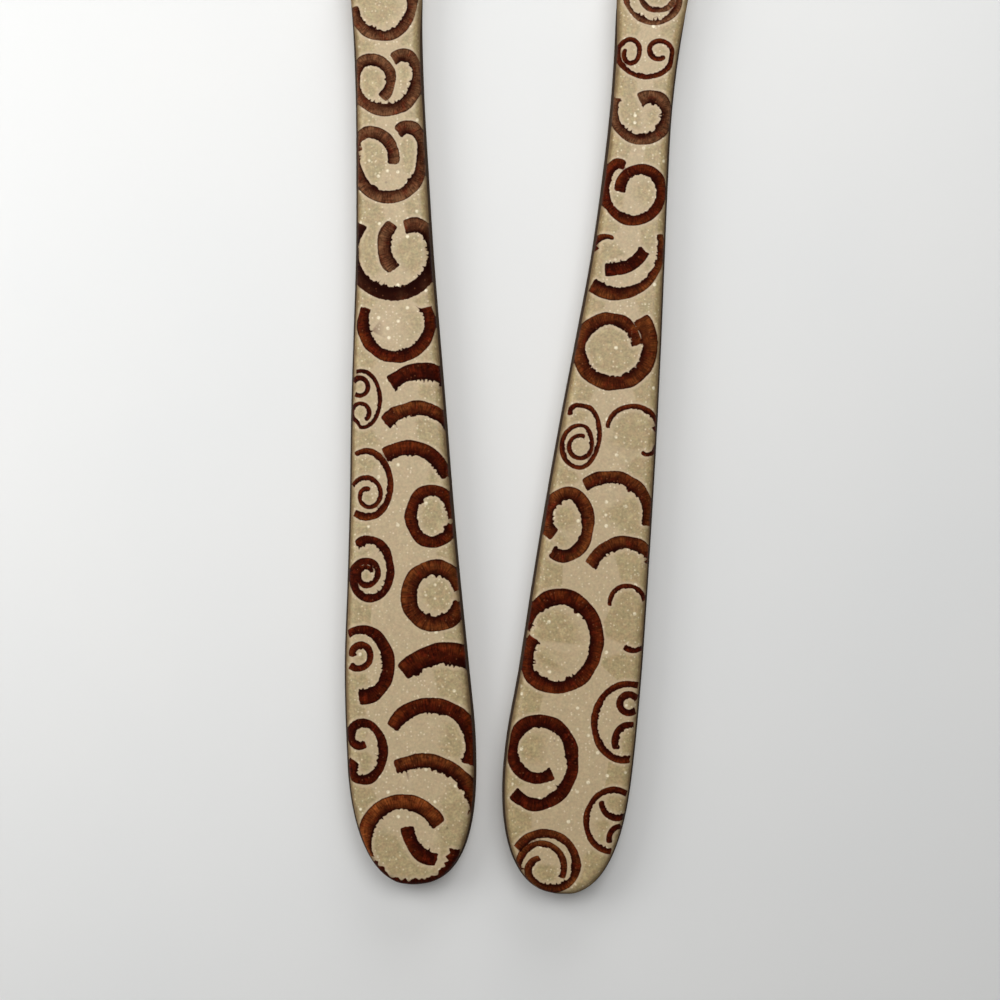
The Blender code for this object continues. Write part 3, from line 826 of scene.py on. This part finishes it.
def bark_finish(name, dark, light, warm, warmth):
    """Cinnamon bark cut across the roll: rays across it, dark skins, and patches of lighter wood."""
    s = Shader(name)
    along, across, number = s.given("along"), s.given("across"), s.given("number")

    def unrolled(along_scale, across_scale):
        """A place on the roll laid out flat, stretched along and across it."""
        on_roll = s.maths("MULTIPLY", along, along_scale)
        through = s.maths("MULTIPLY", across, across_scale)
        return s.add("CombineXYZ", {0: on_roll, 1: through, 2: number}).outputs[0]

    rays = s.noise(0.3, 2.0, unrolled(1.0, 0.5))
    layers = s.noise(0.5, 2.0, unrolled(0.25, 3.0))
    patches = s.between(s.noise(2.6, 3.0, s.vector("ADD", s.place, (7.0, 3.0, 0.0))), 0.40, 0.62)
    reddish = s.between(s.noise(1.5, 3.0, s.vector("ADD", s.place, (3.0, 23.0, 0.0))), 0.52, 0.68, 0.0, 0.6)
    colour = s.mix(s.between(s.noise(0.55, 4.0, roughness=0.75), 0.38, 0.62), dark, light)
    colour = s.mix(reddish, colour, BARK_REDDISH)
    outer_half = s.between(across, 0.8, 0.25)
    colour = s.mix(s.maths("MULTIPLY", s.maths("MULTIPLY", patches, outer_half), warmth), colour, warm)
    colour = s.shaded(colour, s.between(rays, 0.3, 0.7, 0.50, 1.55))
    colour = s.shaded(colour, s.between(layers, 0.3, 0.7, 0.72, 1.25))
    depth = s.maths("ADD", across, s.between(s.noise(3.0, 3.0, roughness=0.6), 0.3, 0.7, -0.25, 0.25))
    colour = s.mix(s.between(depth, 0.5, 1.0, 0.0, 0.9), colour, BARK_INNER)
    outer_skin = s.between(across, 0.12, 0.02, 0.0, 0.8)
    inner_skin = s.between(across, 0.86, 0.96, 0.0, 0.9)
    colour = s.mix(s.maths("MAXIMUM", outer_skin, inner_skin), colour, BARK_SKIN)
    colour = s.mix(s.maths("MULTIPLY", s.specks(0.7, 0.2, 0.25), 0.4), colour, BARK_FLECK)
    relief = s.bump(s.maths("ADD", rays, s.noise(0.25, 2.0)), 0.03)
    rough = s.between(rays, 0.3, 0.7, 0.45, 0.62)
    return s.finish(Base_Color=colour, Roughness=rough, Normal=relief, Specular_IOR_Level=0.015)


def steel_finish():
    """Steel: painted dark and dull between the scales, as shade and grime on the tang's edge, and finely
    brushed on the head.
    """
    s = Shader("brushed_steel")
    grain = s.noise(0.12, 3.0, s.vector("MULTIPLY", s.place, (1.0, 0.03, 1.0)))
    smears = s.noise(9.0, 3.0)
    tang = s.between(s.given("past_scale"), 0.6, -0.6)
    colour = s.mix(s.between(smears, 0.3, 0.7), STEEL_DULL, STEEL_BRIGHT)
    # Painted shade and grime: along the tang the steel turns dark brown, dull and not metal, for the dark
    # line of shade at the handle's edge.
    colour = s.mix(tang, colour, TANG_SHADE_AND_GRIME)
    rough = s.maths("ADD", s.between(grain, 0.3, 0.7, 0.16, 0.3), s.between(tang, 0.0, 1.0, 0.0, 0.3))
    relief = s.bump(grain, 0.006)
    metal = s.between(tang, 0.0, 1.0, 1.0, 0.0)
    shine = s.between(tang, 0.0, 1.0, 0.5, 0.05)
    return s.finish(
        Base_Color=colour, Roughness=rough, Normal=relief, Metallic=metal, Specular_IOR_Level=shine
    )


def floor_finish():
    """A matt white table top."""
    s = Shader("table")
    colour = s.mix(s.between(s.noise(60.0, 3.0), 0.3, 0.7), FLOOR, FLOOR_CLOUD)
    colour = s.mix(s.maths("MULTIPLY", s.specks(26.0, 0.3, 0.3), 0.35), colour, FLOOR_SPECK)
    return s.finish(Base_Color=colour, Roughness=0.6, Normal=s.bump(s.noise(1.2, 3.0), 0.01))


def build_stage():
    """The table, which is only a background."""
    bpy.ops.mesh.primitive_plane_add(size=TABLE_SIZE, location=TABLE_PLACE)
    floor = bpy.context.object
    floor.name = "floor"
    floor.data.materials.append(floor_finish())


def add_window(name, location, size, power, shadow=True):
    """A soft rectangular light, aimed at the middle of the handles."""
    lamp = bpy.data.lights.new(name, "AREA")
    lamp.shape = "RECTANGLE"
    lamp.size, lamp.size_y = size
    lamp.energy = power
    lamp.color = DAYLIGHT
    lamp.use_shadow = shadow
    window = bpy.data.objects.new(name, lamp)
    bpy.context.scene.collection.objects.link(window)
    window.location = location
    towards = Vector(LIGHTS_AIM) - window.location
    window.rotation_euler = towards.to_track_quat("-Z", "Y").to_euler()


def build_lights():
    """A white room, four windows with soft shadows, and a fill from the left without one."""
    world = bpy.data.worlds.new("studio")
    bpy.context.scene.world = world
    world.use_nodes = True
    tree = world.node_tree
    ray = tree.nodes.new("ShaderNodeLightPath")
    strength = tree.nodes.new("ShaderNodeMapRange")
    strength.inputs[3].default_value, strength.inputs[4].default_value = ROOM_SEEN, ROOM_LIGHT
    tree.links.new(ray.outputs["Is Diffuse Ray"], strength.inputs[0])
    tree.links.new(strength.outputs[0], tree.nodes["Background"].inputs["Strength"])
    tree.nodes["Background"].inputs["Color"].default_value = (*DAYLIGHT, 1)
    add_window("right_window", (0.19, 0.30, 0.74), (0.50, 0.36), 2.27)
    add_window("left_window", (-0.25, 0.15, 0.34), (0.28, 0.20), 0.52)
    add_window("low_window", (0.09, 0.43, 0.22), (0.28, 0.20), 0.60)
    add_window("overhead", (-0.03, 0.13, 0.44), (0.28, 0.20), 0.27)
    add_window("left_fill", (-0.33, 0.14, 0.17), (0.30, 0.25), 0.56, shadow=False)


def build_camera():
    """A long lens that looks straight down on the handles."""
    camera = bpy.data.objects.new("camera", bpy.data.cameras.new("camera"))
    bpy.context.scene.collection.objects.link(camera)
    camera.data.lens, camera.data.sensor_width = LENS, SENSOR
    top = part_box("fork_front_scale")[1].z
    camera.location = (VIEW_CENTRE[0] * MM, VIEW_CENTRE[1] * MM, top + VIEW_WIDTH * MM * LENS / SENSOR)
    bpy.context.scene.camera = camera
    bpy.context.scene.view_settings.view_transform = "Standard"


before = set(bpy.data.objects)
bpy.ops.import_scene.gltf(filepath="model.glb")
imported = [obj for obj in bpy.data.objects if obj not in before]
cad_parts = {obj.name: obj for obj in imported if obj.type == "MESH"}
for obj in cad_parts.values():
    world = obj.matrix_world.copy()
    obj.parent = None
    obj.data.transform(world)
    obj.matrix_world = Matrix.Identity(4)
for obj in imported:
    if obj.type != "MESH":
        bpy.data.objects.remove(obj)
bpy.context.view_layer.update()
finishes = {"steel": steel_finish()}
for kind, tint in RESIN_TINT.items():
    finishes[f"{kind}_front"] = resin_finish(f"{kind}_glitter_resin", tint, beside_bark=True)
    finishes[f"{kind}_back"] = resin_finish(f"{kind}_back_resin", tint, beside_bark=False)
for tone, (dark, light, warm, warmth) in BARK.items():
    finishes[tone] = bark_finish(f"cinnamon_bark_{tone}", dark, light, warm, warmth)
for kind in LEAN:
    build_inlay(kind, finishes)
    build_back_scale(kind, finishes)
    build_steel(kind, finishes)
build_stage()
build_lights()
build_camera()
